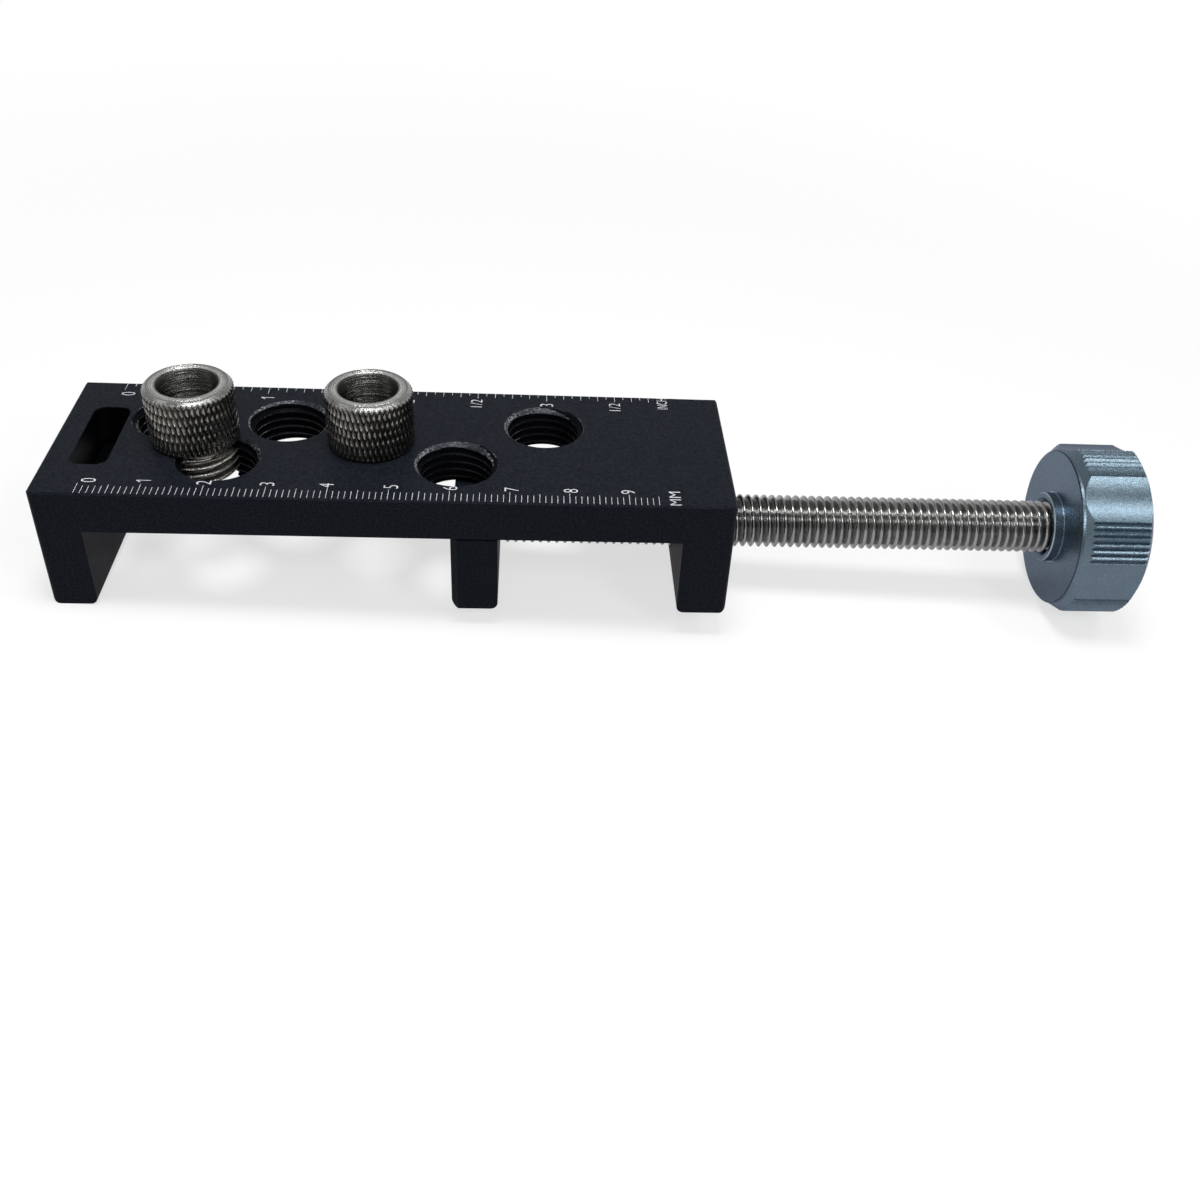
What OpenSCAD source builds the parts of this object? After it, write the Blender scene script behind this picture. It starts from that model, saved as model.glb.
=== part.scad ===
// Clamp-on drilling jig: a bridge with tapped holes, a moving jaw drawn along
// it by a hand screw, and knurled drill bushes that screw into the holes.
//
// The origin is the middle of the fixed jaw's face, on the axis of the screw.
// X runs along the screw towards the knob, Y to the back and Z up.

/* [Bridge] */
// Width of the bridge, front to back
bridge_w = 36.8; // [32:0.1:50]
// Thickness of the drilling plate
plate_t = 7.5; // [6:0.1:12]
// Depth of the two legs below the plate
leg_h = 15; // [14:0.1:24]
// Thickness of the leg that forms the fixed jaw
fixed_jaw_t = 7.5; // [6:0.1:14]
// Thickness of the leg that carries the screw
screw_leg_t = 8.8; // [6:0.1:16]
// Clear length between the two legs
throat_l = 99.5; // [92:0.1:150]
// Radius of the lower corners of the legs and the jaw
foot_r = 1.3; // [0.5:0.1:2.5]
// Radius of the upright corners, seen from above
corner_r = 1; // [0.5:0.1:2.5]
// Bevel along the edges of the top face
top_bevel = 0.3; // [0.1:0.05:0.8]

/* [Tapped holes] */
// Outer diameter of the thread in the holes
hole_d = 14; // [11:0.1:16]
// How much wider the bevel makes each mouth of a hole, on the radius
hole_bevel = 0.2; // [0.1:0.05:0.6]
// Distance from the fixed jaw to the first hole
first_hole = 10.7; // [9:0.1:14]
// Step between the first three holes, which run into one another
short_step = 5; // [4:0.1:6]
// Step from the third hole to the fourth
middle_step = 10; // [9:0.1:12]
// Step between the last four holes
long_step = 15; // [14:0.1:17]
// Distance of the front and back rows from the middle line
row_offset = 6.5; // [5:0.1:8]

/* [Sight slot] */
// Width of the slot over the face of the fixed jaw
slot_w = 6.3; // [4:0.1:8]
// Length of the slot, front to back
slot_l = 19; // [12:0.1:26]
// Radius of the corners of the slot
slot_r = 2; // [0.5:0.1:2]
// Distance from the jaw face to the right edge of the slot
slot_reach = 2.9; // [1:0.1:3.2]

/* [Drill bushes] */
// Diameter of the drill that the bushes guide
drill_d = 10; // [4:0.1:10.2]
// Room around the drill, on the radius
drill_room = 0.05; // [0.02:0.01:0.1]
// Diameter of the knurled head
head_d = 15; // [14.8:0.1:18]
// Height of the knurled head
head_h = 10.5; // [6:0.1:16]
// Bevel round the top of the head
head_bevel = 0.7; // [0.2:0.05:1]
// Bevel at the foot of the head
head_foot_bevel = 0.45; // [0.1:0.05:1]
// Running room of the bush thread in its hole, on the radius
thread_room = 0.05; // [0.02:0.01:0.1]
// How far the end of the thread stays above the underside of the plate
thread_short = 1.5; // [0.5:0.1:3]
// Length of the plain neck between head and thread
neck_l = 1; // [0.5:0.1:2]
// Depth of the neck below the thread, on the radius
neck_depth = 0.85; // [0.3:0.05:1]
// Bevel on the end of the thread
thread_bevel = 0.5; // [0.2:0.05:0.8]

/* [Moving jaw] */
// Opening between the two jaw faces
opening = 60; // [5:0.5:80]
// Thickness of the moving jaw
jaw_t = 8; // [7:0.1:11]
// Gap between the top of the jaw and the plate
jaw_gap = 0.3; // [0.1:0.05:0.6]
// How far the jaw ends above the feet of the legs
jaw_lift = 0.2; // [0.1:0.1:1]
// Bevel of the upright edges beside the clamping face
jaw_bevel = 1.1; // [0.5:0.1:2]

/* [Clamp screw] */
// Outer diameter of the screw thread
screw_d = 9.74; // [8:0.02:11]
// Running room of the screw in its leg, on the radius
screw_room = 0.08; // [0.02:0.01:0.1]
// Length of screw to spare between leg and knob with the jaws closed
closing_spare = 1.7; // [0.5:0.1:6]
// Diameter of the turned end that the jaw holds
journal_d = 7; // [6:0.1:7.4]
// Metal left in the jaw past the turned end
journal_wall = 1.8; // [1.2:0.1:2.5]
// Running room round the turned end, on the radius
journal_room = 0.08; // [0.02:0.01:0.1]
// Depth of the groove in the turned end
groove_depth = 1.1; // [0.8:0.1:1.2]
// Diameter of the two pins that hold the screw in the jaw
pin_d = 3; // [2:0.1:3.2]
// Length of each pin
pin_l = 11; // [8:0.1:13]
// Gap between screw shoulder and jaw
shoulder_gap = 0.05; // [0.02:0.01:0.2]

/* [Knob] */
// Diameter over the ribbed pads
knob_d = 32; // [26:0.1:40]
// Length of the knob behind its boss
knob_l = 13.15; // [10:0.05:20]
// Diameter of the boss round the screw
boss_d = 13; // [12.5:0.1:18]
// Length of the boss
boss_l = 1.85; // [1:0.05:4]
// Length of the step at the edge of the near face
step_l = 0.65; // [0.2:0.05:1.5]
// Drop from the pads to the end faces, on the radius
shoulder_drop = 1.5; // [0.8:0.1:2]
// Length of the near shoulder
near_shoulder_l = 1.4; // [0.6:0.1:2.5]
// Length of the far shoulder
far_shoulder_l = 1.1; // [0.6:0.1:2.5]
// Number of finger hollows round the knob
hollow_count = 6; // [4:1:7]
// Depth of a finger hollow at its middle
hollow_depth = 1.4; // [0.8:0.1:1.45]
// Radius of the cutter that makes a hollow
hollow_r = 14.5; // [8:0.1:20]
// Number of grooves across each pad
groove_count = 7; // [3:1:7]
// Distance from groove to groove round the pad
groove_step = 1.2; // [0.9:0.02:1.24]
// Depth of the grooves in the pads
rib_depth = 0.5; // [0.2:0.05:0.55]
// Turn of the first pad from straight down
pad_turn = 6; // [0:1:59]
// Depth of the screw's hole in the knob, from the front of the boss
knob_bore_l = 12; // [8:0.1:13]

/* [Hidden] */
$fn = 96;
// Overrun of a cut past the face that it opens
eps = 0.1;
// Slack round a part that is pressed or bonded in
bond = 0.02;

under_z = leg_h / 2;
top_z = under_z + plate_t;
foot_z = -leg_h / 2;
bridge_l = fixed_jaw_t + throat_l + screw_leg_t;
screw_leg_x = throat_l;
hole_r = hole_d / 2;
hole_steps = [short_step, short_step, middle_step, long_step, long_step, long_step];
// The holes lie in the back, the middle and the front row in turn
row_sides = [1, 0, -1];
loose_hole = 1;
seated_hole = 4;

thread_r = hole_r - thread_room;
thread_l = plate_t - thread_short;
bush_bore_r = drill_d / 2 + drill_room;
bore_bevel = 0.15;
head_r = head_d / 2;

jaw_x = opening;
jaw_back_x = jaw_x + jaw_t;
jaw_top_z = under_z - jaw_gap;
jaw_foot_z = foot_z + jaw_lift;

screw_r = screw_d / 2;
screw_bore_r = screw_r + screw_room;
screw_bore_bevel = 0.6;
screw_start_bevel = 0.9;
journal_r = journal_d / 2;
journal_tip_x = jaw_x + journal_wall;
journal_tip_gap = 0.3;
journal_tip_bevel = 0.5;
shoulder_x = jaw_back_x + shoulder_gap;
pin_r = pin_d / 2;
groove_r = journal_r - groove_depth;
groove_room = 0.15;
// The pins lie just past the middle of the turned end's length in the jaw
pin_x = journal_tip_x + journal_tip_bevel + groove_room + pin_r + 0.6;
pin_y = groove_r + pin_r + groove_room;
pin_foot = 0.4;
screw_run = throat_l + screw_leg_t - jaw_t + closing_spare;
boss_x = jaw_back_x + screw_run;

knob_r = knob_d / 2;
face_r = knob_r - shoulder_drop;
face_bevel = 0.2;
boss_r = boss_d / 2;
knob_bore_r = screw_r + bond;
knob_bore_bevel = 0.7;
screw_end_gap = 0.3;
grip_x = boss_l + step_l + near_shoulder_l;
knob_end_x = boss_l + knob_l;
hollow_axis_r = knob_r - hollow_depth + hollow_r;
groove_angle = groove_step / knob_r * 180 / PI;

body_black = [0.09, 0.09, 0.1];
steel = [0.72, 0.72, 0.7];
knob_blue = [0.34, 0.4, 0.46];

function hole_x(i) = i < 1 ? first_hole : hole_x(i - 1) + hole_steps[i - 1];
function hole_y(i) = row_offset * row_sides[i % len(row_sides)];

// Rectangle with round corners, its middle at the origin
module round_plan(w, d, r) {
    square([w - 2 * r, d], center = true);
    square([w, d - 2 * r], center = true);
    for (sx = [-1, 1], sy = [-1, 1])
        translate([sx * (w / 2 - r), sy * (d / 2 - r)]) circle(r);
}

// Front view of a leg, square at the top and round at its two lower corners
module leg_front(x, t, foot, top) {
    translate([x, foot + foot_r]) square([t, top - foot - foot_r]);
    translate([x + foot_r, foot]) square([t - 2 * foot_r, foot_r + eps]);
    for (px = [x + foot_r, x + t - foot_r])
        translate([px, foot + foot_r]) circle(foot_r);
}

// Stretches a front view over the whole width of the bridge
module across() {
    translate([0, bridge_w / 2, 0]) rotate([90, 0, 0])
        linear_extrude(bridge_w) children();
}

// Prism that takes a bevel off one straight edge, running along X
module edge_bevel(l, size) {
    rotate([45, 0, 0]) cube([l, size * sqrt(2), size * sqrt(2)], center = true);
}

// Places what is drawn along Z along the axis of the screw
module along_screw(x) {
    translate([x, 0, 0]) rotate([0, 90, 0]) children();
}

// A round hole with a bevel at both mouths, from z = 0 to z = l
module bevelled_hole(r, l, bevel) {
    translate([0, 0, -eps]) cylinder(r = r, h = l + 2 * eps);
    for (end = [0, 1]) translate([0, 0, end * l]) mirror([0, 0, end])
        translate([0, 0, -eps]) cylinder(r1 = r + bevel + eps, r2 = r, h = bevel + eps);
}

module bridge_block() {
    intersection() {
        across() {
            translate([-fixed_jaw_t, under_z]) square([bridge_l, plate_t]);
            leg_front(-fixed_jaw_t, fixed_jaw_t, foot_z, under_z + eps);
            leg_front(screw_leg_x, screw_leg_t, foot_z, under_z + eps);
        }
        translate([bridge_l / 2 - fixed_jaw_t, 0, foot_z - eps])
            linear_extrude(leg_h + plate_t + 2 * eps) round_plan(bridge_l, bridge_w, corner_r);
    }
}

module sight_slot() {
    translate([slot_reach - slot_w / 2, 0, under_z])
        linear_extrude(plate_t + eps) round_plan(slot_w, slot_l, slot_r);
}

module bridge() {
    color(body_black) difference() {
        bridge_block();
        for (i = [0:len(hole_steps)])
            translate([hole_x(i), hole_y(i), under_z]) bevelled_hole(hole_r, plate_t, hole_bevel);
        sight_slot();
        along_screw(screw_leg_x) bevelled_hole(screw_bore_r, screw_leg_t, screw_bore_bevel);
        for (side = [-1, 1]) {
            translate([bridge_l / 2 - fixed_jaw_t, side * bridge_w / 2, top_z])
                edge_bevel(bridge_l + 2, top_bevel);
            translate([side > 0 ? screw_leg_x + screw_leg_t : -fixed_jaw_t, 0, top_z])
                rotate(90) edge_bevel(bridge_w + 2, top_bevel);
        }
    }
}

module moving_jaw() {
    color(body_black) difference() {
        across() leg_front(jaw_x, jaw_t, jaw_foot_z, jaw_top_z);
        for (side = [-1, 1])
            translate([jaw_x, side * bridge_w / 2, 0]) rotate([0, 90, 0])
                edge_bevel(leg_h + 2, jaw_bevel);
        along_screw(journal_tip_x - journal_tip_gap)
            cylinder(r = journal_r + journal_room, h = jaw_t);
        for (side = [-1, 1])
            translate([pin_x, side * pin_y, jaw_foot_z - eps])
                cylinder(r = pin_r + bond, h = pin_l + pin_foot + eps + bond);
    }
}

// One of the two pins driven up into the jaw beside the groove of the screw
module jaw_pin(side) {
    color(steel) translate([pin_x, side * pin_y, jaw_foot_z + pin_foot])
        rotate_extrude() polygon([[0, 0], [pin_r - bore_bevel, 0], [pin_r, bore_bevel],
            [pin_r, pin_l - bore_bevel], [pin_r - bore_bevel, pin_l], [0, pin_l]]);
}

module front_jaw_pin() jaw_pin(-1);
module back_jaw_pin() jaw_pin(1);

module clamp_screw() {
    groove_a = pin_x - pin_r - groove_room;
    groove_b = pin_x + pin_r + groove_room;
    end_x = boss_x + knob_bore_l - screw_end_gap;
    color(steel) along_screw(0) rotate_extrude() polygon([
        [0, journal_tip_x], [journal_r - journal_tip_bevel, journal_tip_x],
        [journal_r, journal_tip_x + journal_tip_bevel], [journal_r, groove_a],
        [groove_r, groove_a], [groove_r, groove_b], [journal_r, groove_b],
        [journal_r, shoulder_x], [screw_r - screw_start_bevel, shoulder_x],
        [screw_r, shoulder_x + screw_start_bevel], [screw_r, end_x - screw_start_bevel],
        [screw_r - screw_start_bevel, end_x], [0, end_x]]);
}

// Outline of the knob before its grip is cut, turned about the screw
module knob_blank() {
    rotate_extrude() polygon([
        [0, 0], [boss_r - face_bevel, 0], [boss_r, face_bevel], [boss_r, boss_l],
        [face_r - face_bevel, boss_l], [face_r, boss_l + face_bevel],
        [face_r, boss_l + step_l], [knob_r, grip_x],
        [knob_r, knob_end_x - far_shoulder_l], [face_r, knob_end_x], [0, knob_end_x]]);
}

// Cuts between the ribs of one pad, centred on local X
module pad_grooves() {
    for (g = [0:groove_count - 1])
        rotate((g - (groove_count - 1) / 2) * groove_angle)
            translate([knob_r, 0, boss_l + knob_l / 2]) rotate([0, 90, 0])
                edge_bevel(knob_l + 2, rib_depth);
}

module knob() {
    color(knob_blue) along_screw(boss_x) difference() {
        knob_blank();
        for (k = [0:hollow_count - 1]) rotate(pad_turn + k * 360 / hollow_count) {
            pad_grooves();
            rotate(180 / hollow_count) translate([hollow_axis_r, 0, boss_l + eps])
                cylinder(r = hollow_r, h = knob_l + 1);
        }
        translate([0, 0, -eps]) cylinder(r = knob_bore_r, h = knob_bore_l + eps);
        translate([0, 0, -eps])
            cylinder(r1 = knob_bore_r + knob_bore_bevel + eps, r2 = knob_bore_r,
                h = knob_bore_bevel + eps);
    }
}

// A drill bush, its head resting on z = 0
module bush() {
    neck_r = thread_r - neck_depth;
    color(steel) rotate_extrude() polygon([
        [bush_bore_r + bore_bevel, head_h], [head_r - head_bevel, head_h],
        [head_r, head_h - head_bevel], [head_r, head_foot_bevel],
        [head_r - head_foot_bevel, 0], [neck_r, 0], [neck_r, -neck_l],
        [thread_r - thread_bevel, -neck_l], [thread_r, -neck_l - thread_bevel],
        [thread_r, -thread_l + thread_bevel], [thread_r - thread_bevel, -thread_l],
        [bush_bore_r + bore_bevel, -thread_l], [bush_bore_r, -thread_l + bore_bevel],
        [bush_bore_r, head_h - bore_bevel]]);
}

module bush_in_hole(i) {
    translate([hole_x(i), hole_y(i), top_z]) bush();
}

module seated_bush() bush_in_hole(seated_hole);

// The loose bush is only turned in by hand. Its thread shows where the holes on both
// sides of its own run into that one.
module loose_bush() bush_in_hole(loose_hole);

bridge();
moving_jaw();
clamp_screw();
front_jaw_pin();
back_jaw_pin();
knob();
seated_bush();
loose_bush();
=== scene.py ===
import bmesh
import bpy
import math
import numpy as np
from mathutils import Matrix, Vector


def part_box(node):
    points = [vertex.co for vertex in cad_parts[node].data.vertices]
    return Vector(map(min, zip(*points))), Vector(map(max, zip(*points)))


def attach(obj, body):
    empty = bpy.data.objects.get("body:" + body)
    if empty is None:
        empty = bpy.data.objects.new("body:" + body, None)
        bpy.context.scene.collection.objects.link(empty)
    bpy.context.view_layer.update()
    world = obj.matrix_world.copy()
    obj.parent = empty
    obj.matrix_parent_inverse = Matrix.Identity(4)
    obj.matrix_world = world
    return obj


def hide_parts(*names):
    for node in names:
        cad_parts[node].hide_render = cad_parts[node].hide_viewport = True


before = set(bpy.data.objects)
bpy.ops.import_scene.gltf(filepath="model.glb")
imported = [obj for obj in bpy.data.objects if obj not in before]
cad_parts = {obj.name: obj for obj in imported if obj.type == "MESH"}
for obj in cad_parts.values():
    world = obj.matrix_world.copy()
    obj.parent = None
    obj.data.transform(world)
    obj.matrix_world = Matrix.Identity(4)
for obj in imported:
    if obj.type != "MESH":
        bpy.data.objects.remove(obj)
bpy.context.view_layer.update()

# The camera looks down on the jig from the front, as in the photograph. Its place,
# turn and lens were fitted to the engraved scales, the holes and the knob.
view_right = Vector((0.99643508, -0.05586443, 0.06321629))
view_up = Vector((-0.01491559, 0.62087158, 0.78377038))
view_back = Vector((-0.08303408, -0.78191921, 0.61782497))
view_place = Vector((0.07336, -0.19926, 0.13598))
camera = bpy.data.cameras.new("view")
camera.sensor_width = 36
camera.lens = 39.213
camera.shift_x = -0.031
camera.shift_y = 0.0077
camera.clip_start = 0.01
camera.clip_end = 10
camera_stand = bpy.data.objects.new("view", camera)
camera_stand.matrix_world = Matrix((
    (view_right.x, view_up.x, view_back.x, view_place.x),
    (view_right.y, view_up.y, view_back.y, view_place.y),
    (view_right.z, view_up.z, view_back.z, view_place.z),
    (0, 0, 0, 1)))
bpy.context.scene.collection.objects.link(camera_stand)
bpy.context.scene.camera = camera_stand

# The bridge is one block of aluminium, milled, lightly blasted and anodised black.
# Its edges are broken by a fine bevel, where the black is rubbed a little thinner.
edge_break = 0.00012
edge_angle = 28


def put(tree, kind, values=None, **settings):
    """Adds a node. Values go to its inputs by name or number: a socket is linked, the rest is set."""
    node = tree.nodes.new(kind)
    for key, setting in settings.items():
        setattr(node, key, setting)
    for key, value in (values or {}).items():
        if isinstance(value, bpy.types.NodeSocket):
            tree.links.new(value, node.inputs[key])
        else:
            node.inputs[key].default_value = value
    return node


def maths(tree, operation, *values):
    """The result of one step of arithmetic on sockets and plain numbers."""
    return put(tree, "ShaderNodeMath", dict(enumerate(values)), operation=operation).outputs[0]


def ramp(tree, value, low, high, to_low=0.0, to_high=1.0):
    """Takes value from low..high to to_low..to_high, softly and without overrun."""
    return put(tree, "ShaderNodeMapRange", {"Value": value, "From Min": low, "From Max": high,
        "To Min": to_low, "To Max": to_high}, interpolation_type="SMOOTHSTEP").outputs["Result"]


def between(tree, mask, first, last):
    """Takes a mask softly to first where it is 0 and to last where it is 1."""
    return ramp(tree, mask, 0.0, 1.0, first, last)


def mixed(tree, share, first, second):
    """Colour first where share is 0 and second where it is 1."""
    node = put(tree, "ShaderNodeMix", {"Factor": share}, data_type="RGBA")
    for socket, colour in ((node.inputs[6], first), (node.inputs[7], second)):
        if isinstance(colour, bpy.types.NodeSocket):
            tree.links.new(colour, socket)
        else:
            socket.default_value = (*colour, 1)
    return node.outputs[2]


def axes(tree, vector):
    """The X, Y and Z of a vector."""
    return put(tree, "ShaderNodeSeparateXYZ", {0: vector}).outputs


def place_on(tree):
    """Where a point of the piece is, in metres from the piece's own origin."""
    return put(tree, "ShaderNodeTexCoord").outputs["Object"]


def in_millimetres(tree, vector):
    """The same vector, in millimetres."""
    return put(tree, "ShaderNodeVectorMath", {0: vector, "Scale": 1000.0}, operation="SCALE").outputs[0]


def mask_group(name, takes, gives):
    """An empty shader node group, its inputs and its one output, a mask. takes holds the names
    and values of its inputs; the value of a vector is None."""
    group = bpy.data.node_groups.new(name, "ShaderNodeTree")
    for label, value in takes.items():
        kind = "NodeSocketVector" if value is None else "NodeSocketFloat"
        socket = group.interface.new_socket(label, in_out="INPUT", socket_type=kind)
        if value is not None:
            socket.default_value = value
    group.interface.new_socket(gives, in_out="OUTPUT", socket_type="NodeSocketFloat")
    start = group.nodes.new("NodeGroupInput")
    end = group.nodes.new("NodeGroupOutput")
    return group, start.outputs, end.inputs[gives]


# Grain: noise of a stated size in millimetres
grain, grain_in, grain_out = mask_group("metal_grain",
    {"Vector": None, "Size": 0.3, "Low": 0.4, "High": 0.6}, "Grain")
speckle = put(grain, "ShaderNodeTexNoise", {"Vector": in_millimetres(grain, grain_in["Vector"]),
    "Scale": maths(grain, "DIVIDE", 1.0, grain_in["Size"]), "Detail": 3.0, "Roughness": 0.6})
cut = put(grain, "ShaderNodeMapRange", {"Value": speckle.outputs[0], "From Min": grain_in["Low"],
    "From Max": grain_in["High"]})
grain.links.new(cut.outputs["Result"], grain_out)

# Rubs: hairline scratches that run roughly one way, broken up in patches
rubs, rubs_in, rubs_out = mask_group("hairline_rubs", {"Vector": None, "Length": 9.0, "Width": 0.25}, "Rubs")
rub_mm = in_millimetres(rubs, rubs_in["Vector"])
rub_axes = axes(rubs, rub_mm)
drawn_out = put(rubs, "ShaderNodeCombineXYZ", {
    0: maths(rubs, "DIVIDE", rub_axes["X"], rubs_in["Length"]),
    1: maths(rubs, "DIVIDE", rub_axes["Y"], rubs_in["Width"]),
    2: maths(rubs, "DIVIDE", rub_axes["Z"], rubs_in["Width"])})
rub_noise = put(rubs, "ShaderNodeTexNoise", {"Vector": drawn_out.outputs[0], "Scale": 1.0, "Detail": 2.0})
rub_patch = put(rubs, "ShaderNodeTexNoise", {"Vector": rub_mm, "Scale": 0.12, "Detail": 2.0})
rub_line = ramp(rubs, rub_noise.outputs[0], 0.64, 0.74)
rub_where = ramp(rubs, rub_patch.outputs[0], 0.5, 0.66)
rubs.links.new(maths(rubs, "MULTIPLY", rub_line, rub_where), rubs_out)


def grain_of(tree, place, size, low, high):
    """A mask of grain of one size. What its noise has under low is 0, and over high 1."""
    return put(tree, "ShaderNodeGroup", {"Vector": place, "Size": size, "Low": low, "High": high},
        node_tree=grain).outputs["Grain"]


def finish(name, **settings):
    """A new material with its Principled shader set to plain values."""
    material = bpy.data.materials.new(name)
    material.use_nodes = True
    shader = material.node_tree.nodes["Principled BSDF"]
    for label, value in settings.items():
        shader.inputs[label.replace("_", " ")].default_value = value
    return material, material.node_tree, shader


def feed(tree, shader, **sockets):
    """Links sockets to the shader's inputs of the same names."""
    for label, socket in sockets.items():
        tree.links.new(socket, shader.inputs[label.replace("_", " ")])


def lay_over(tree, mask, colour):
    """Lays a colour over the one that the material has, where mask is 1."""
    shader = tree.nodes["Principled BSDF"]
    before = shader.inputs["Base Color"].links[0].from_socket
    feed(tree, shader, Base_Color=mixed(tree, mask, before, colour))


def black_anodised(name, colour, pale, gloss, patch_size, shine=0.04):
    """Black anodised aluminium: blasted grain, faint patches, dust specks and a few light rubs."""
    material, tree, shader = finish(name, Roughness=gloss, Specular_IOR_Level=shine)
    place = place_on(tree)
    fine = grain_of(tree, place, 0.16, 0.36, 0.68)
    coarse = grain_of(tree, place, 0.4, 0.36, 0.64)
    cloud = grain_of(tree, place, patch_size, 0.36, 0.66)
    specks = grain_of(tree, place, 0.22, 0.66, 0.73)
    lines = put(tree, "ShaderNodeGroup", {"Vector": place, "Length": 8.0, "Width": 0.3},
        node_tree=rubs).outputs["Rubs"]
    clouded = mixed(tree, cloud, [c * 0.85 for c in colour], [c * 1.15 for c in colour])
    mottled = mixed(tree, coarse, clouded, [c * 0.2 + p * 0.8 for c, p in zip(colour, pale)])
    grained = mixed(tree, between(tree, fine, 0.0, 0.5), mottled, pale)
    rubbed = mixed(tree, between(tree, lines, 0.0, 0.4), grained, pale)
    dusted = mixed(tree, between(tree, specks, 0.0, 0.7), rubbed, [p * 4 for p in pale])
    rough = maths(tree, "SUBTRACT", between(tree, cloud, gloss - 0.02, gloss + 0.02),
        between(tree, lines, 0.0, 0.1))
    bump = put(tree, "ShaderNodeBump", {"Strength": 0.28, "Distance": 0.00002, "Height": fine})
    feed(tree, shader, Base_Color=dusted, Roughness=rough, Normal=bump.outputs["Normal"])
    return material


def broken_edges(solid, edge_material):
    """A fine rounded bevel on the sharp edges of a solid, in its own paler finish."""
    solid.data.materials.append(edge_material)
    bevel = solid.modifiers.new("broken edges", "BEVEL")
    bevel.width = edge_break
    bevel.segments = 2
    bevel.limit_method = "ANGLE"
    bevel.angle_limit = math.radians(edge_angle)
    bevel.harden_normals = True
    bevel.material = len(solid.data.materials) - 1


def dress(solid, material):
    """Gives a solid one material in place of those it came with."""
    solid.data.materials.clear()
    solid.data.materials.append(material)


bridge_black = black_anodised("bridge_black", (0.0018, 0.0028, 0.0050), (0.0140, 0.0170, 0.0232), 0.42, 12.0)
worn_black = black_anodised("worn_black_edges", (0.014, 0.016, 0.020), (0.044, 0.048, 0.055), 0.38, 2.0)

# Painted shade: the milled walls inside the slot are painted darker, as the shade in it. In metres.
slot_middle = (-0.00025, 0.0, 0.0111)
slot_half = (0.00325, 0.0096, 0.0037)
tree = bridge_black.node_tree
place = axes(tree, place_on(tree))
within = [maths(tree, "COMPARE", place[i], slot_middle[i], slot_half[i]) for i in range(3)]
in_plan = maths(tree, "MULTIPLY", within[0], within[1])
# Painted shade: near-black laid over the slot's walls
lay_over(tree, maths(tree, "MULTIPLY", in_plan, within[2]), (0.0012, 0.0015, 0.0022))
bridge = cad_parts["bridge"]
dress(bridge, bridge_black)
broken_edges(bridge, worn_black)

# The seven holes are tapped M14 x 1.5 through the plate, each with a turned countersink
# at its mouth. Each thread is cut into the plate, so it is a skin on the hole's wall, and
# the first three holes run into one another.
# Sizes of cut and turned forms are in millimetres.
hole_places = [(10.7, 6.5), (15.7, 0.0), (20.7, -6.5), (30.7, 6.5), (45.7, 0.0), (60.7, -6.5), (75.7, 6.5)]
top_face, under_face = 15.0, 7.5
thread_pitch = 1.5
thread_steps = 96
hole_crest, hole_root = 6.19, 7.0
bore_r, lower_mouth_r, lip_r = 6.1, 6.45, 7.18
countersink_r, countersink_depth = 7.2, 0.92
lower_bevel = 0.25
skin_inset = 0.02
open_bore = hole_crest + 0.06
start_angle, angle_step = 50, 37
on_crest, on_flank, on_root = range(3)
same_point, no_length = 2e-6, 1e-6


def thread_radius(place, crest_r, root_r, rolled):
    """Radius across one pitch; place 0 is the middle of the crest and 0.5 that of the root.
    A rolled thread has rounded crests, the broader the smaller rolled is. A cut one, for which
    rolled is 0, has crests an eighth of the pitch wide, straight flanks and slightly hollow roots."""
    away = np.abs((place + 0.5) % 1.0 - 0.5)
    straight = np.interp(away, [1 / 16, 3 / 8, 1 / 2], [1.0, 0.0, -0.03])
    rounded = (0.5 + 0.5 * np.cos(2 * np.pi * away)) ** rolled
    return root_r + (crest_r - root_r) * (rounded if rolled else straight)


def thread_skin(low, high, crest_r, root_r, bound, steps=thread_steps, rolled=0.0):
    """Points, faces and kinds of face of a right-hand thread about Z, from low to high.
    bound is a line of (z, r) that cuts the crests, as a bevel does."""
    across = np.array([0.0, 0.0625, 0.14, 0.219, 0.297, 0.375, 0.5, 0.625, 0.703, 0.781, 0.86, 0.9375])
    crests, flanks, roots = (2, 2, 4) if rolled else (1, 4, 2)
    one_side = [on_crest] * crests + [on_flank] * flanks
    kinds = one_side + [on_root] * roots + one_side[::-1]
    last = steps * (math.ceil((high - low) / thread_pitch) + 2)
    step = np.arange(last + 1)
    start = low - thread_pitch + thread_pitch * step / steps
    z = np.clip(start[:, None] + across[None, :] * thread_pitch, low, high)
    r = thread_radius((z - start[:, None]) / thread_pitch, crest_r, root_r, rolled)
    limit = np.interp(z, [p[0] for p in bound], [p[1] for p in bound])
    outward = crest_r > root_r
    cut = r > limit if outward else r < limit
    r = np.where(cut, limit, r)
    angle = 2 * math.pi * step / steps
    points = np.stack([r * np.cos(angle)[:, None], r * np.sin(angle)[:, None], z], axis=2) / 1000
    width = len(across)
    faces, face_kinds = [], []
    for s in range(last):
        for k in range(width):
            # The last point across one turn joins the first of the turn above it
            above, over = (s, k + 1) if k + 1 < width else (s + steps, 0)
            if above + 1 > last:
                continue
            if z[s, k] == z[above, over] and z[s + 1, k] == z[above + 1, over]:
                continue
            face = (s * width + k, (s + 1) * width + k, (above + 1) * width + over, above * width + over)
            faces.append(face if outward else face[::-1])
            face_kinds.append(on_crest if cut[s, k] and cut[s + 1, k] else kinds[k])
    return points.reshape(-1, 3), faces, face_kinds


def ring_faces(rows, steps):
    """Faces between rows of points that go round, steps points in each row."""
    return [(row * steps + s, row * steps + (s + 1) % steps, (row + 1) * steps + (s + 1) % steps,
        (row + 1) * steps + s) for row in range(rows - 1) for s in range(steps)]


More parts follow.
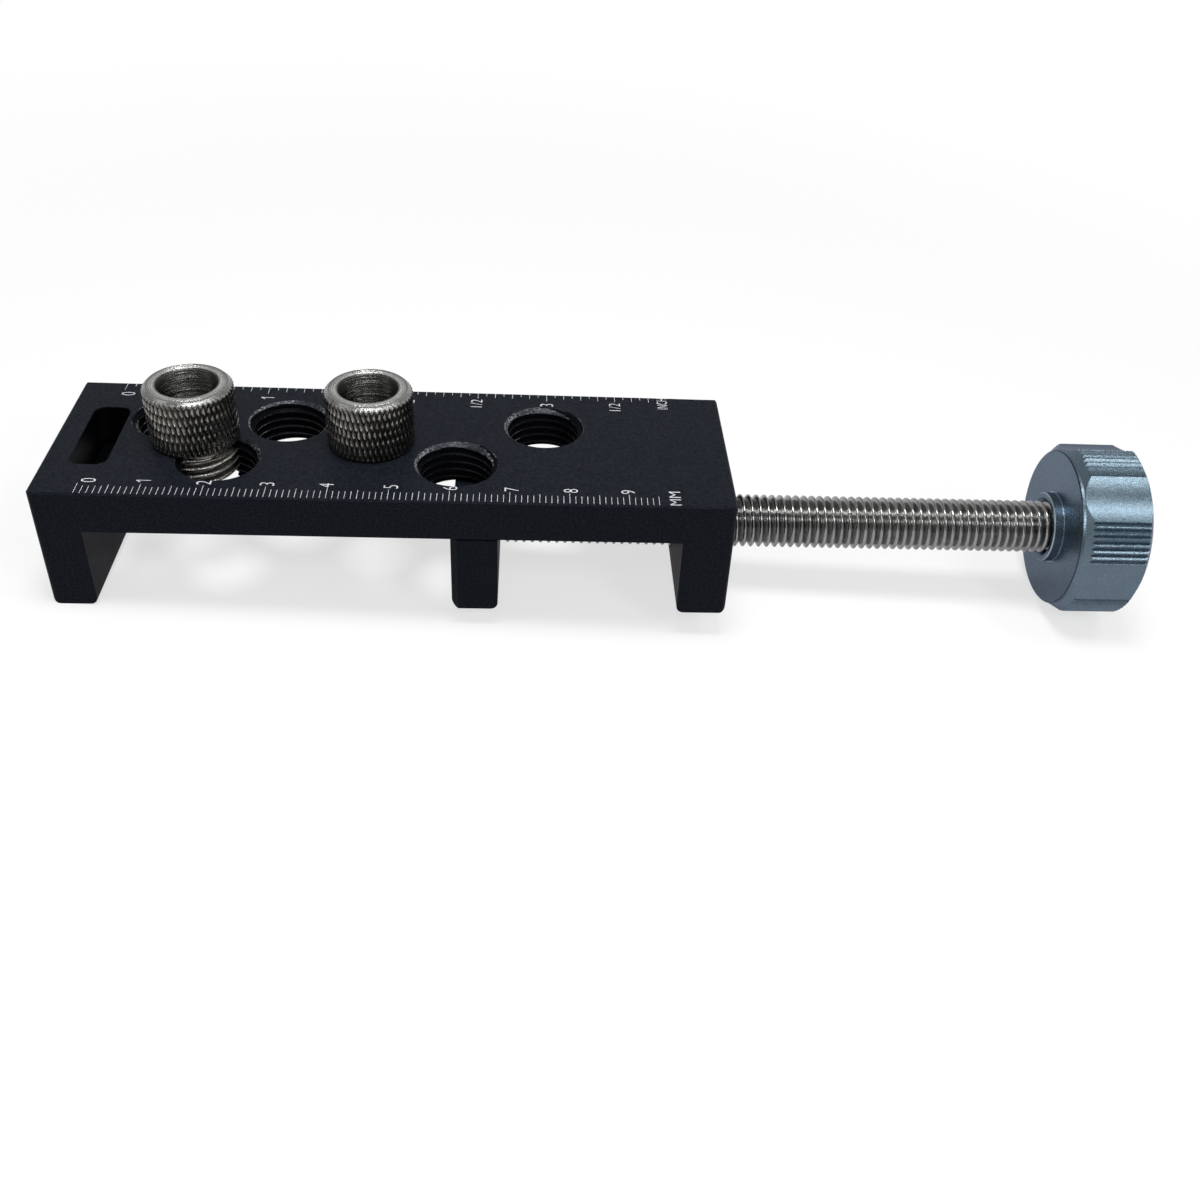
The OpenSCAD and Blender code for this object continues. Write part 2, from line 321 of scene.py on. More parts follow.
def turned_skin(profile, steps=thread_steps):
    """Points and faces of a turned surface about Z. profile is a list of (r, z) in millimetres."""
    angle = 2 * math.pi * np.arange(steps) / steps
    points = np.array([(r * math.cos(a), r * math.sin(a), z) for r, z in profile for a in angle]) / 1000
    return points, ring_faces(len(profile), steps)


def weld(mesh):
    """Joins the points of a mesh that lie on one another, and drops faces with no area."""
    work = bmesh.new()
    work.from_mesh(mesh)
    bmesh.ops.remove_doubles(work, verts=work.verts, dist=same_point)
    bmesh.ops.dissolve_degenerate(work, edges=work.edges, dist=no_length)
    work.to_mesh(mesh)
    work.free()


def piece(name, skins, materials, sharp=35):
    """One object from several skins, each (points, faces, material number for each face)."""
    points, faces, kinds = [], [], []
    for skin_points, skin_faces, skin_kinds in skins:
        first = sum(len(p) for p in points)
        points.append(skin_points)
        faces += [tuple(first + v for v in face) for face in skin_faces]
        kinds += list(skin_kinds)
    mesh = bpy.data.meshes.new(name)
    mesh.from_pydata(np.concatenate(points).tolist(), [], faces)
    mesh.polygons.foreach_set("material_index", kinds)
    mesh.validate()
    weld(mesh)
    mesh.polygons.foreach_set("use_smooth", [True] * len(mesh.polygons))
    mesh.set_sharp_from_angle(angle=math.radians(sharp))
    for material in materials:
        mesh.materials.append(material)
    solid = bpy.data.objects.new(name, mesh)
    bpy.context.scene.collection.objects.link(solid)
    return solid


def outside_other_holes(points, faces, kinds, x, y):
    """The faces of the hole at x, y that don't stand in the open bore of another hole."""
    kept, kept_kinds = [], []
    middles = np.array([points[list(face), :2].mean(axis=0) for face in faces]) * 1000 + (x, y)
    for face, kind, middle in zip(faces, kinds, middles):
        if all(math.dist(middle, other) > open_bore for other in hole_places if other != (x, y)):
            kept.append(face)
            kept_kinds.append(kind)
    return points, kept, kept_kinds


# Bare aluminium shows in specks at the mouths, with a painted highlight: the specks show most at the left and
# right sides, little at the front and back
mouth_specks_and_highlight, tree, shader = finish("hole_mouth_specks_and_highlight", Metallic=0.85, Roughness=0.3)
place = place_on(tree)
chips = grain_of(tree, place, 0.4, 0.46, 0.64)
patches = grain_of(tree, place, 2.5, 0.38, 0.6)
sideways = maths(tree, "ABSOLUTE", axes(tree, place)["X"])
# Painted highlight: the specks are shown brighter toward the left and right of the hole
painted_side_highlight = ramp(tree, sideways, 0.0034, 0.0064, 0.1, 1.0)
rubbed = maths(tree, "MULTIPLY", between(tree, patches, 0.5, 1.0), painted_side_highlight)
shown = maths(tree, "MULTIPLY", chips, rubbed)
bump = put(tree, "ShaderNodeBump", {"Strength": 0.5, "Distance": 0.00004, "Height": chips})
feed(tree, shader, Base_Color=mixed(tree, shown, (0.018, 0.020, 0.025), (0.54, 0.56, 0.59)),
    Roughness=between(tree, chips, 0.4, 0.26), Normal=bump.outputs["Normal"])
hole_black = black_anodised("hole_thread_black", (0.0014, 0.0016, 0.0024), (0.004, 0.0045, 0.006), 0.4, 2.0,
    0.015)

hole_wall = [(under_face, lower_mouth_r), (under_face + lower_bevel, bore_r),
    (top_face - countersink_depth, bore_r), (top_face, countersink_r)]
skin_low, skin_high = under_face + skin_inset, top_face - skin_inset
for number, (x, y) in enumerate(hole_places):
    points, faces, kinds = thread_skin(skin_low, skin_high, hole_crest, hole_root, hole_wall)
    turned = math.radians(start_angle + angle_step * number)
    along, aside = math.cos(turned), math.sin(turned)
    points = points @ np.array([[along, aside, 0], [-aside, along, 0], [0, 0, 1]])
    lip_points, lip_faces = turned_skin([(lip_r, skin_low), (lower_mouth_r, skin_low)])
    skins = [outside_other_holes(points, faces, kinds, x, y),
        outside_other_holes(lip_points, lip_faces, [on_flank] * len(lip_faces), x, y)]
    # The thread's crests take the mouth finish with its painted side highlight
    thread = piece(f"hole_thread_{number + 1}", skins, [mouth_specks_and_highlight, hole_black, hole_black])
    thread.location = (x / 1000, y / 1000, 0)
    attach(thread, "bridge")

# Two scales are engraved in white on the top face: millimetres along the front edge,
# and sixteenths of an inch along the back edge, both from the fixed jaw's face.
edge_margin = 0.3
front_edge, back_edge = -18.4 + edge_margin, 18.4 - edge_margin
line_width, engraved_depth = 0.082, 0.02
paint_rise = 0.012
inch = 25.4
millimetre_lengths = ((10, 2.95), (5, 2.6), (1, 2.15))
inch_lengths = ((16, 2.3), (8, 1.95), (2, 1.6), (1, 0.95))
figure_h, half_h, word_h = 2.4, 2.1, 1.95
half_l, mm_word_l, inch_word_l = 2.75, 4.1, 4.0
front_row, front_one_row, back_row = -14.3, -14.0, 14.35
word_x, mm_word_y, inch_word_y = 97.75, -15.95, 16.05
millimetre_figures = (1.5, 10.2, 19.9, 30.1, 39.7, 50.3, 60.05, 70.3, 80.2, 89.9)
inch_figures = (("0", 0.95), ("1/2", 12.55), ("1/2", 37.9), ("2", 50.8), ("1/2", 63.3),
    ("3", 76.2), ("1/2", 88.8))
inch_one = 25.6
figure_width = 0.66
nought_spread = 0.58
letter_thinning = -0.012
one_stem, one_flag = 0.07, 0.54
flag_tip, flag_foot, flag_joint = 0.6, 0.86, 0.4


def mark_length(number, lengths):
    """Length of a mark, by the largest step that it is a whole number of."""
    return next(length for step, length in lengths if number % step == 0)


def engraved_line(x, y0, y1):
    """Points and faces of one line of a scale, along Y."""
    left, right = x - line_width / 2, x + line_width / 2
    corners = [(left, y0), (right, y0), (right, y1), (left, y1)]
    points = np.array([(px, py, top_face + z) for z in (-engraved_depth, paint_rise) for px, py in corners])
    faces = [(4, 5, 6, 7), (0, 1, 5, 4), (1, 2, 6, 5), (2, 3, 7, 6), (3, 0, 4, 7)]
    return points / 1000, faces, [0] * len(faces)


def engraved_word(word, x, y, height, length=None):
    """A word cut in the face, read along +Y, its letters height tall. It is length long in all,
    or as wide as its letters are when a nought is figure_width of its height."""
    curve = bpy.data.curves.new("word", "FONT")
    curve.body = word
    curve.align_x = "CENTER"
    curve.align_y = "CENTER"
    curve.resolution_u = 4
    curve.offset = letter_thinning
    shape = bpy.data.objects.new("word", curve)
    mesh = shape.to_mesh()
    points = np.array([v.co[:] for v in mesh.vertices])
    faces = [tuple(p.vertices) for p in mesh.polygons]
    low, high = points.min(0), points.max(0)
    spread = high[0] - low[0]
    length = length or spread / nought_spread * figure_width * height
    wide = (points[:, 0] - (low[0] + high[0]) / 2) / spread * length
    tall = (points[:, 1] - (low[1] + high[1]) / 2) / (high[1] - low[1]) * height
    placed = np.stack([x - tall, y + wide, np.full(len(points), top_face + paint_rise)], axis=1) / 1000
    shape.to_mesh_clear()
    bpy.data.objects.remove(shape)
    bpy.data.curves.remove(curve)
    return placed, faces, [0] * len(faces)


def engraved_one(x, y):
    """The figure 1, read along +Y: a straight stem with a short flag, which the font's 1 lacks."""
    top = figure_h / 2
    outline = [(-one_stem, -top), (one_stem, -top), (one_stem, top), (-one_stem, top),
        (-one_flag, top - flag_tip), (-one_flag, top - flag_foot), (-one_stem, top - flag_joint)]
    points = np.array([(x - up, y + across, top_face + paint_rise) for across, up in outline]) / 1000
    return points, [(0, 1, 2, 3, 6), (3, 4, 5, 6)], [0, 0]


marks = [engraved_line(n, front_edge, front_edge + mark_length(n, millimetre_lengths)) for n in range(96)]
marks += [engraved_line(n * inch / 16, back_edge - mark_length(n, inch_lengths), back_edge)
    for n in range(61)]
for figure, x in enumerate(millimetre_figures):
    marks.append(engraved_one(x, front_one_row) if figure == 1
        else engraved_word(str(figure), x, front_row, figure_h))
marks.append(engraved_word("MM", word_x, mm_word_y, word_h, mm_word_l))
for figure, x in inch_figures:
    marks.append(engraved_word(figure, x, back_row, half_h, half_l) if figure == "1/2"
        else engraved_word(figure, x, back_row, figure_h))
marks.append(engraved_one(inch_one, back_row))
marks.append(engraved_word("INCH", word_x, inch_word_y, word_h, inch_word_l))

scale_white, tree, shader = finish("scale_white", Roughness=0.6, Specular_IOR_Level=0.3)
place = place_on(tree)
thin = grain_of(tree, place, 0.12, 0.34, 0.56)
tired = grain_of(tree, place, 3.0, 0.4, 0.7)
fresh = mixed(tree, thin, (0.36, 0.37, 0.39), (0.76, 0.77, 0.80))
feed(tree, shader, Base_Color=mixed(tree, between(tree, tired, 0.0, 0.4), fresh, (0.30, 0.31, 0.33)))
scales = piece("engraved_scales", marks, [scale_white])
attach(scales, "bridge")

# The moving jaw is a block of the same black aluminium. It hangs under the plate on
# the clamp screw, and the plate and the legs keep it square.
jaw_black = black_anodised("jaw_black", (0.0024, 0.0036, 0.0060), (0.0115, 0.0145, 0.0205), 0.44, 9.0)
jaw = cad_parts["moving_jaw"]
dress(jaw, jaw_black)
broken_edges(jaw, worn_black)

# Two ground dowel pins are pressed up into the jaw from below, one each side of the
# groove in the screw's end, so that the screw turns in the jaw and draws it along.
pin_steel, tree, shader = finish("ground_pin_steel", Metallic=1.0, Roughness=0.3)
ground = grain_of(tree, place_on(tree), 0.2, 0.35, 0.65)
feed(tree, shader, Base_Color=mixed(tree, ground, (0.42, 0.42, 0.41), (0.60, 0.60, 0.59)),
    Roughness=between(tree, ground, 0.24, 0.4))
for node in ("front_jaw_pin", "back_jaw_pin"):
    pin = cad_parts[node]
    dress(pin, pin_steel)

# The clamp screw is a stainless M10 x 1.5 rod with a rolled thread. Its left end is
# turned down to a journal with a groove for the pins, and its right end is in the knob.
screw_low, screw_high = (corner.x * 1000 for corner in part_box("clamp_screw"))
screw_crest, screw_root, screw_steps = 4.87, 3.95, 72
screw_roundness = 0.6
shoulder, end_bevel = 68.05, 0.9
journal_r, groove_r, core_r = 3.5, 2.4, 3.97
groove_low, groove_high = 62.9, 66.2


def length_of(tree, vector):
    """The length of a vector."""
    return put(tree, "ShaderNodeVectorMath", {0: vector}, operation="LENGTH").outputs["Value"]


# Turning marks: fine rings left by the tool, on a part that is turned about its own Z
rings, rings_in, rings_out = mask_group("turning_marks", {"Vector": None, "Spacing": 0.2}, "Marks")
ring_axes = axes(rings, in_millimetres(rings, rings_in["Vector"]))
ring_flat = put(rings, "ShaderNodeCombineXYZ", {0: ring_axes["X"], 1: ring_axes["Y"]})
ring_place = put(rings, "ShaderNodeCombineXYZ", {
    0: maths(rings, "DIVIDE", length_of(rings, ring_flat.outputs[0]), rings_in["Spacing"]),
    1: maths(rings, "DIVIDE", ring_axes["Z"], rings_in["Spacing"])})
ring_noise = put(rings, "ShaderNodeTexNoise", {"Vector": ring_place.outputs[0], "Scale": 1.0, "Detail": 2.0})
rings.links.new(ramp(rings, ring_noise.outputs[0], 0.36, 0.64), rings_out)


def machined(name, bright, dull, dark, rough, grain_size, marks=0.0, soiled=0.5, bare=1.0):
    """Machined metal: grain, dull patches, soiled in dark, and turning marks as deep as marks.
    Less than 1 of bare gives it a duller skin."""
    material, tree, shader = finish(name, Metallic=bare, Roughness=rough)
    place = place_on(tree)
    fine = grain_of(tree, place, grain_size, 0.33, 0.67)
    cloud = grain_of(tree, place, 3.5, 0.4, 0.62)
    dirt = grain_of(tree, place, 0.7, 0.48, 0.7)
    base = mixed(tree, cloud, bright, dull)
    dirty = mixed(tree, between(tree, dirt, 0.0, soiled), base, dark)
    flecked = mixed(tree, between(tree, fine, 0.25, 0.0), dirty, dark)
    bump = put(tree, "ShaderNodeBump", {"Strength": 0.22, "Distance": 0.00002, "Height": fine})
    feed(tree, shader, Base_Color=flecked, Roughness=between(tree, fine, rough - 0.06, rough + 0.1),
        Normal=bump.outputs["Normal"])
    if marks:
        turned = put(tree, "ShaderNodeGroup", {"Vector": place, "Spacing": 0.22},
            node_tree=rings).outputs["Marks"]
        lay_over(tree, between(tree, turned, marks, 0.0), dark)
        ringed = put(tree, "ShaderNodeBump", {"Strength": marks, "Distance": 0.00007, "Height": turned,
            "Normal": bump.outputs["Normal"]})
        feed(tree, shader, Normal=ringed.outputs["Normal"])
    return material


screw_finishes = [
    machined("screw_crest_steel", (0.35, 0.35, 0.34), (0.30, 0.30, 0.29), (0.21, 0.21, 0.20), 0.11, 0.25),
    machined("screw_flank_steel", (0.38, 0.38, 0.37), (0.32, 0.32, 0.31), (0.20, 0.20, 0.19), 0.14, 0.25),
    machined("screw_root_steel", (0.35, 0.35, 0.35), (0.28, 0.28, 0.28), (0.13, 0.13, 0.13), 0.17, 0.25)]
screw_ends = [(shoulder, screw_crest - end_bevel), (shoulder + end_bevel, screw_crest),
    (screw_high - end_bevel, screw_crest), (screw_high, screw_crest - end_bevel)]
# The journal's end has a rounded corner
journal_tip = [(journal_r - inwards, screw_low + up)
    for inwards, up in ((journal_r, 0.0), (0.55, 0.0), (0.4, 0.05), (0.05, 0.4), (0.0, 0.55))]
journal = journal_tip + [(journal_r, groove_low), (groove_r, groove_low), (groove_r, groove_high),
    (journal_r, groove_high), (journal_r, shoulder), (core_r, shoulder)]
rod_end = [(core_r, screw_high), (0.0, screw_high)]
screw_skins = [thread_skin(shoulder, screw_high, screw_crest, screw_root, screw_ends, screw_steps,
    screw_roundness)]
for profile in (journal, rod_end):
    points, faces = turned_skin(profile)
    screw_skins.append((points, [face[::-1] for face in faces], [on_flank] * len(faces)))
screw = piece("threaded_clamp_screw", screw_skins, screw_finishes)
screw.matrix_world = Matrix.Rotation(math.radians(90), 4, "Y")
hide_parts("clamp_screw")
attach(screw, "screw")

# The knob is turned from aluminium, its six finger hollows and the ribs of its pads
# are milled, and it is blasted and anodised blue-grey. It is bonded on the screw.
# Places and half widths of its painted rim highlights, its painted shade line and its shaded grooves, in
# metres.
boss_front, boss_back, boss_r = 0.170, 0.17185, 0.0065
front_glint, back_glint, boss_glint = 0.0002, 0.0001, 0.00018
face_x, face_r = 0.17195, 0.01438
line_x, line_r = 0.00018, 0.0001
groove_bottom_r, groove_middle_r = 0.0156, 0.0158
wall_lean, lean_spread, side_spread = 0.7, 0.07, 0.2


def outward_of(tree, place):
    """The part of a place that points straight out from the screw's axis."""
    parts = axes(tree, place)
    return put(tree, "ShaderNodeCombineXYZ", {1: parts["Y"], 2: parts["Z"]}).outputs[0]


# Knob lines: painted shade in the V grooves of the pads, whose walls lean 45 degrees from the axis,
# and a painted shade line at the edge of the near face, where it is turned off
lines, lines_in, lines_out = mask_group("knob_lines", {"Vector": None, "Normal": None, "Groove Shade": 0.4}, "Lines")
outward = outward_of(lines, lines_in["Vector"])
straight_out = put(lines, "ShaderNodeVectorMath", {0: outward}, operation="NORMALIZE").outputs[0]
tilt = put(lines, "ShaderNodeVectorMath", {0: straight_out, 1: lines_in["Normal"]}, operation="DOT_PRODUCT")
leaning = maths(lines, "COMPARE", tilt.outputs["Value"], wall_lean, lean_spread)
sideways = maths(lines, "COMPARE", axes(lines, lines_in["Normal"])["X"], 0.0, side_spread)
radius = length_of(lines, outward)
depth = ramp(lines, radius, groove_bottom_r, groove_middle_r, 1.0, 0.0)
groove = maths(lines, "MULTIPLY", maths(lines, "MULTIPLY", leaning, sideways), depth)
at_edge = maths(lines, "COMPARE", radius, face_r, line_r)
at_face = maths(lines, "COMPARE", axes(lines, lines_in["Vector"])["X"], face_x, line_x)
lines.links.new(maths(lines, "MAXIMUM", maths(lines, "MULTIPLY", groove, lines_in["Groove Shade"]),
    maths(lines, "MULTIPLY", at_edge, at_face)), lines_out)

knob_blue, tree, shader = finish("knob_blasted_blue", Metallic=0.9, Roughness=0.4,
    Specular_Tint=(0.63, 0.62, 0.70, 1))
place = place_on(tree)
blasted = grain_of(tree, place, 0.3, 0.3, 0.7)
coarse = grain_of(tree, place, 0.55, 0.35, 0.65)
handled = grain_of(tree, place, 6.0, 0.4, 0.62)
along = axes(tree, place)["X"]
# Painted highlight: thin bright rings at the boss's front edge and where it meets the face
on_boss = maths(tree, "COMPARE", length_of(tree, outward_of(tree, place)), boss_r, boss_glint)
on_painted_glints = maths(tree, "MAXIMUM", maths(tree, "COMPARE", along, boss_front, front_glint),
    maths(tree, "COMPARE", along, boss_back, back_glint))
blue = mixed(tree, blasted, (0.118, 0.166, 0.204), (0.160, 0.218, 0.258))
mottled = mixed(tree, between(tree, coarse, 0.0, 0.35), blue, (0.116, 0.164, 0.202))
greased = mixed(tree, between(tree, handled, 0.0, 0.3), mottled, (0.106, 0.150, 0.188))
glint_painted = mixed(tree, maths(tree, "MULTIPLY", on_boss, on_painted_glints), greased, (0.34, 0.41, 0.46))
bump = put(tree, "ShaderNodeBump", {"Strength": 0.5, "Distance": 0.00003, "Height": blasted})
feed(tree, shader, Base_Color=glint_painted, Roughness=between(tree, blasted, 0.25, 0.32),
    Normal=bump.outputs["Normal"])
knob_edge = machined("knob_edge_blue", (0.62, 0.72, 0.78), (0.50, 0.58, 0.64), (0.30, 0.37, 0.42), 0.34, 0.3)
# Painted shade: both knob finishes are darkened in the pad grooves and on the face's edge line
for material in (knob_blue, knob_edge):
    tree = material.node_tree
    spot = put(tree, "ShaderNodeTexCoord")
    painted_shade_lines = put(tree, "ShaderNodeGroup", {"Vector": spot.outputs["Object"],
        "Normal": spot.outputs["Normal"], "Groove Shade": 0.4}, node_tree=lines).outputs["Lines"]
    lay_over(tree, painted_shade_lines, (0.035, 0.052, 0.068))
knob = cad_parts["knob"]
dress(knob, knob_blue)
broken_edges(knob, knob_edge)

# Each drill bush is one turned steel part: a head with a diamond knurl, a bore of
# 10.1 mm for the drill, and an M14 x 1.5 thread below a short neck.
head_r, head_h = 7.5, 10.5
head_bevel, foot_bevel, bore_bevel = 0.7, 0.45, 0.15
bush_bore = 5.05
bush_crest, bush_root = 6.95, 6.05
neck_l, neck_r, neck_fillet, thread_l = 1.0, 6.1, 0.1, 6.0
thread_bevel, runout_l, runout_depth = 0.55, 0.5, 0.85
thread_foot_r = bush_crest - 0.95
bush_roundness = 1.0
teeth, points_per_tooth = 50, 8
knurl_depth = 0.30
deep_half, cross_half, cross_share = 0.47, 0.3, 0.75
knurl_lean, knurl_cross = math.tan(math.radians(15)), math.tan(math.radians(17))
land_depth, side_depth = 0.035, 0.17
on_face, on_lit_land, on_shaded_side, on_shaded_low, on_shaded_bore, on_bevel = range(6)


def knurl_skin():
    """Points, faces and kinds of the knurled side: deep grooves slant down to the right, and
    shallower ones cross them. The grid follows the deep grooves, so that both stay crisp."""
    pitch = 2 * math.pi * head_r / teeth
    columns = teeth * points_per_tooth
    row_height = pitch / (points_per_tooth * (knurl_lean + knurl_cross))
    rows = np.append(np.arange(0, head_h, row_height), head_h)
    at = np.arange(columns)
    z = rows[:, None]
    angle = 2 * math.pi * at[None, :] / columns - knurl_lean * z / head_r
    from_deep = np.abs((at[None, :] / points_per_tooth + 0.5) % 1.0 - 0.5)
    from_light = np.abs(((angle * head_r - knurl_cross * z) / pitch + 0.5) % 1.0 - 0.5)
    # The wheel pressed deeper in some places than in others, in slow waves round and up the head
    waves = 0.14 * np.sin(3 * angle + 0.4) + 0.12 * np.sin(7 * angle + z) + 0.1 * np.sin(1.9 * z)
    deep = np.clip(1 - from_deep / deep_half, 0, 1)
    light = cross_share * np.clip(1 - from_light / cross_half, 0, 1)
    r = head_r - knurl_depth * (1 + waves) * np.maximum(deep, light)
    r = np.minimum(r, head_r - head_bevel + head_h - z)
    r = np.minimum(r, head_r - foot_bevel + z)
    points = np.stack([r * np.cos(angle), r * np.sin(angle), z + 0 * r], axis=2).reshape(-1, 3) / 1000
    faces = ring_faces(len(rows), columns)
    # The kind of each face sets its painted light: a painted highlight on the lands, painted shade on the
    # sides and in the grooves
    kinds = []
    for face in faces:
        depth = head_r - sum(r[v // columns, v % columns] for v in face) / 4
        bevelled = rows[face[0] // columns] > head_h - head_bevel + 0.02
        by_depth = on_lit_land if depth < land_depth else on_shaded_side if depth < side_depth else on_shaded_low
        kinds.append(on_bevel if bevelled else by_depth)
    return points, faces, kinds


# One steel in lighter and darker copies: a painted highlight on the knurl's lands; painted shade on the
# knurl's sides and grooves, in the bore, on the neck and foot, and in the thread's flanks and roots; the top
# bevel is a darker copy too
bush_finishes = [
    machined("bush_turned_steel", (0.76, 0.76, 0.745), (0.53, 0.53, 0.515), (0.20, 0.20, 0.19), 0.24, 0.2,
        marks=0.9, soiled=0.35, bare=0.9),
    machined("knurl_land_highlight_steel", (0.84, 0.83, 0.80), (0.50, 0.49, 0.47), (0.13, 0.125, 0.11), 0.17, 0.2,
        soiled=0.6, bare=0.95),
    machined("knurl_side_shade_steel", (0.34, 0.33, 0.30), (0.24, 0.23, 0.205), (0.10, 0.095, 0.08), 0.2, 0.2,
        soiled=0.7),
    machined("knurl_groove_shade_steel", (0.12, 0.114, 0.10), (0.08, 0.075, 0.065), (0.035, 0.032, 0.026), 0.32, 0.25),
    machined("bush_bore_shade_steel", (0.16, 0.16, 0.15), (0.11, 0.11, 0.102), (0.03, 0.03, 0.027), 0.2, 0.12,
        marks=0.8, soiled=0.3),
    machined("bush_bevel_steel", (0.40, 0.40, 0.39), (0.28, 0.28, 0.27), (0.10, 0.10, 0.09), 0.22, 0.2,
        marks=0.5, bare=0.9)]
top_and_bore = [(head_r - head_bevel, head_h), (bush_bore + bore_bevel, head_h),
    (bush_bore, head_h - bore_bevel), (bush_bore, -thread_l + bore_bevel),
    (bush_bore + bore_bevel, -thread_l), (thread_foot_r, -thread_l)]
neck_and_foot = [(thread_foot_r, -neck_l), (neck_r, -neck_l), (neck_r, -neck_fillet),
    (neck_r + neck_fillet, 0.0), (head_r - foot_bevel, 0.0)]
thread_ends = [(-thread_l, bush_crest - thread_bevel), (-thread_l + thread_bevel, bush_crest),
    (-neck_l - runout_l, bush_crest), (-neck_l, bush_crest - runout_depth)]
head_steps = teeth * points_per_tooth
top_points, top_faces = turned_skin(top_and_bore, head_steps)
top_kinds = [on_face if face[0] < head_steps else on_shaded_bore for face in top_faces]
foot_points, foot_faces = turned_skin(neck_and_foot, head_steps)
# The neck and foot get the painted shade of the knurl's sides
foot_kinds = [on_shaded_side] * len(foot_faces)
points, faces, kinds = thread_skin(-thread_l, -neck_l, bush_crest, bush_root, thread_ends,
    rolled=bush_roundness)
# The thread's crests keep the turned steel; its flanks and roots get painted shade
kinds = [on_face if kind == on_crest else on_shaded_low for kind in kinds]
bush_skins = [knurl_skin(), (top_points, top_faces, top_kinds), (foot_points, foot_faces, foot_kinds),
    (points, faces, kinds)]
seated = piece("knurled_bush_in_plate", bush_skins, bush_finishes, 50)


def stand_in_hole(bush, number, turned):
    """Stands a bush in the hole of that number, with its head on the plate."""
    x, y = hole_places[number - 1]
    on_plate = Matrix.Translation((x / 1000, y / 1000, top_face / 1000))
    bush.matrix_world = on_plate @ Matrix.Rotation(turned, 4, "Z")


stand_in_hole(seated, 5, 0.4)
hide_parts("seated_bush")
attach(seated, "bush_in_plate")

# The loose bush is the same part, turned by hand into the second hole. Its thread shows
# where the hole in front of it runs into its own.
loose = bpy.data.objects.new("knurled_bush_turned_in", seated.data)
bpy.context.scene.collection.objects.link(loose)
stand_in_hole(loose, 2, 2.1)
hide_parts("loose_bush")
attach(loose, "spare_bush")

# The floor is pale card. The jig rests on it by the foot of the fixed jaw and the rim
# of the knob, so the floor leans a little against the jig's own axes.
floor_lean = 0.04714
floor_drop = -0.0077875
floor_size = 1.6
floor_mesh = bpy.data.meshes.new("floor")
floor_corners = [(floor_size * x, floor_size * y, 0) for x, y in ((-1, -1), (1, -1), (1, 1), (-1, 1))]
floor_mesh.from_pydata(floor_corners, [], [(0, 1, 2, 3)])
floor = bpy.data.objects.new("floor", floor_mesh)
bpy.context.scene.collection.objects.link(floor)
floor.matrix_world = Matrix.Rotation(floor_lean, 4, "Y") @ Matrix.Translation((0, 0, floor_drop))

# Seen straight on or in metal it is white, a little less so under the jig, and it keeps the shadow
jig_middle = (0.08, 0, 0)
mirror_loss = 0.45
close_by, far_off, least_white = 0.08, 0.34, 0.66
floor_card = bpy.data.materials.new("pale_card")
floor_card.use_nodes = True
tree = floor_card.node_tree
tree.nodes.remove(tree.nodes["Principled BSDF"])
seen = put(tree, "ShaderNodeLightPath").outputs
any_ray = maths(tree, "MAXIMUM", maths(tree, "MAXIMUM", seen["Is Camera Ray"], seen["Is Glossy Ray"]),
    seen["Is Transmission Ray"])
direct = maths(tree, "SUBTRACT", any_ray, maths(tree, "MULTIPLY", seen["Is Glossy Ray"], mirror_loss))
from_jig = put(tree, "ShaderNodeVectorMath", {0: place_on(tree), 1: jig_middle}, operation="DISTANCE")
whiter = ramp(tree, from_jig.outputs["Value"], close_by, far_off, least_white, 1.0)
white = mixed(tree, seen["Is Glossy Ray"], (1, 1, 1), (0.98, 0.94, 1.0))
glow = put(tree, "ShaderNodeEmission", {"Color": white, "Strength": 1.0})
card_colour = mixed(tree, direct, (0.36, 0.36, 0.37), (0.88, 0.88, 0.89))
card = put(tree, "ShaderNodeBsdfDiffuse", {"Color": card_colour})
both = put(tree, "ShaderNodeMixShader", {0: maths(tree, "MULTIPLY", direct, whiter), 1: card.outputs[0],
    2: glow.outputs[0]})
tree.links.new(both.outputs[0], tree.nodes["Material Output"].inputs["Surface"])
floor_mesh.materials.append(floor_card)

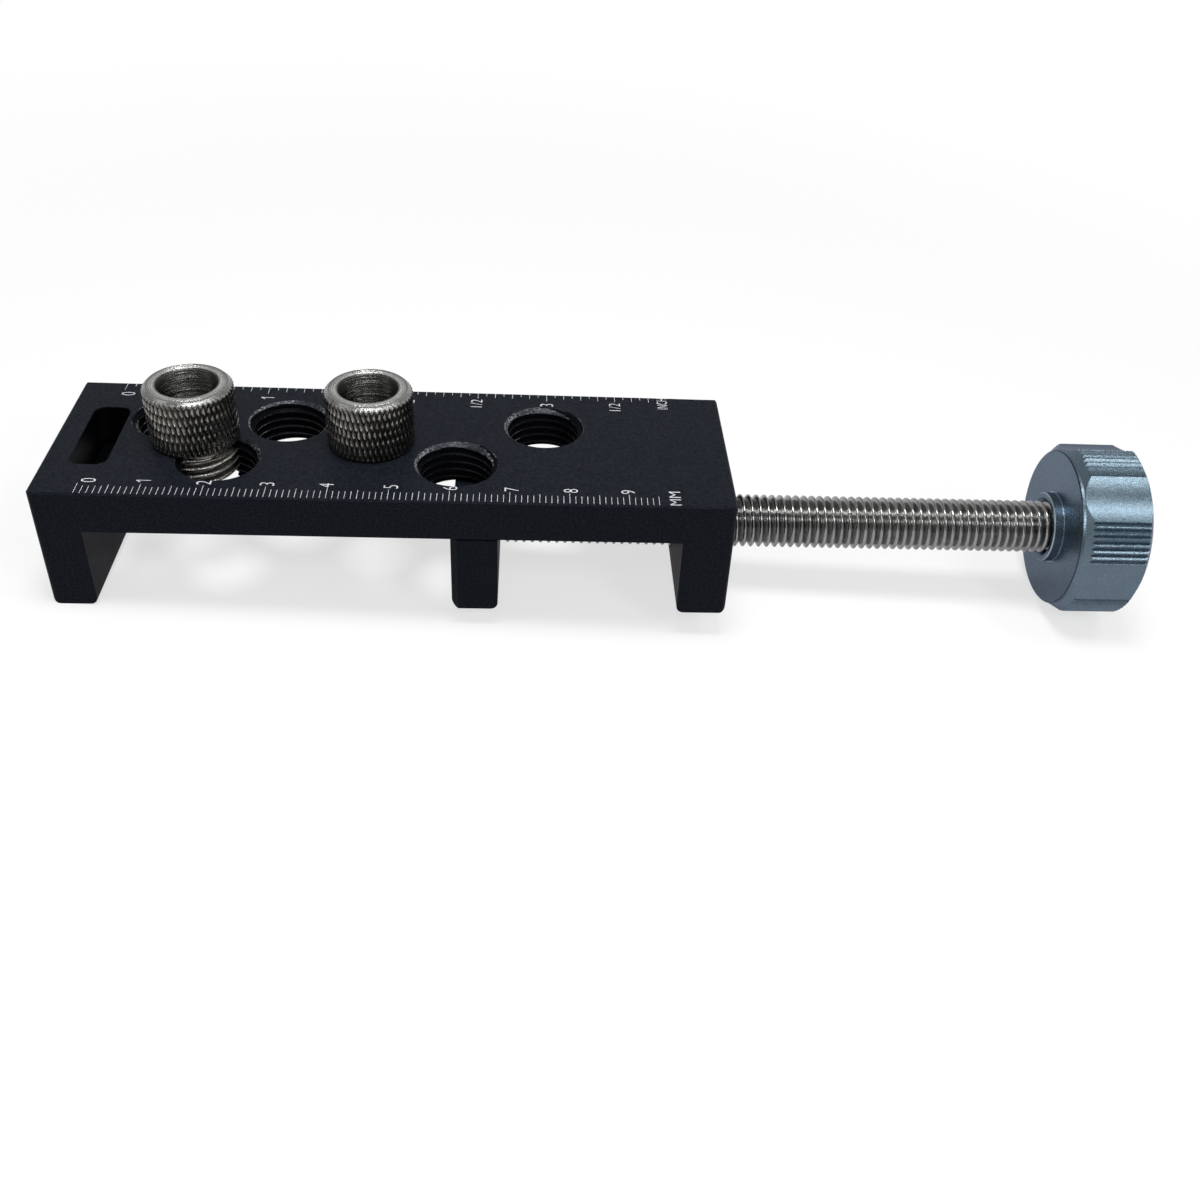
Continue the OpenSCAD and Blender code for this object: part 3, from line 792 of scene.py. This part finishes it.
# Soft studio light: round lamps overhead, in front, at the left and two at the right,
# in a room with pale walls behind and at the right, and a darker ceiling.
lamps = (
    ("overhead", 0.17, (0.07, -0.03, 0.5), 1.6),
    ("front", 0.12, (0.05, -0.42, 0.42), 0.4),
    ("left", 0.3, (-0.5, -0.2, 0.45), 0.5),
    ("right", 0.13, (0.37, -0.34, 0.34), 0.5),
    ("upper right", 0.13, (0.38, -0.02, 0.47), 0.45))
for name, size, stand_place, power in lamps:
    lamp = bpy.data.lights.new(name, "AREA")
    lamp.shape = "DISK"
    lamp.size = size
    lamp.energy = power
    stand = bpy.data.objects.new(name, lamp)
    stand.location = stand_place
    stand.rotation_euler = (Vector(jig_middle) - Vector(stand_place)).to_track_quat("-Z", "Y").to_euler()
    bpy.context.scene.collection.objects.link(stand)

room = bpy.data.worlds.new("room")
bpy.context.scene.world = room
room.use_nodes = True
tree = room.node_tree
room_light = 0.32
seen = put(tree, "ShaderNodeLightPath").outputs
toward = axes(tree, put(tree, "ShaderNodeTexCoord").outputs["Generated"])
right_and_back = ramp(tree, maths(tree, "MAXIMUM", toward["X"], toward["Y"]), 0.3, 0.8, 0.18, 0.8)
left_wall = ramp(tree, maths(tree, "SUBTRACT", 0.0, toward["X"]), 0.3, 0.9, 0.14, 0.5)
walls = maths(tree, "MAXIMUM", right_and_back, left_wall)
ceiling = ramp(tree, toward["Y"], -0.6, 0.4, 0.34, 0.43)
height = ramp(tree, toward["Z"], 0.1, 0.5)
wall_to_ceiling = put(tree, "ShaderNodeMix", {"Factor": height, 2: walls, 3: ceiling})
reflected = maths(tree, "MAXIMUM", seen["Is Glossy Ray"], seen["Is Transmission Ray"])
surround = put(tree, "ShaderNodeMix", {"Factor": reflected, 2: room_light, 3: wall_to_ceiling.outputs[0]})
light = put(tree, "ShaderNodeMix", {"Factor": seen["Is Camera Ray"], 2: surround.outputs[0], 3: 1.0})
sky = tree.nodes["Background"]
sky.inputs["Color"].default_value = (1, 1, 1, 1)
tree.links.new(light.outputs[0], sky.inputs["Strength"])
bpy.context.scene.view_settings.view_transform = "Standard"
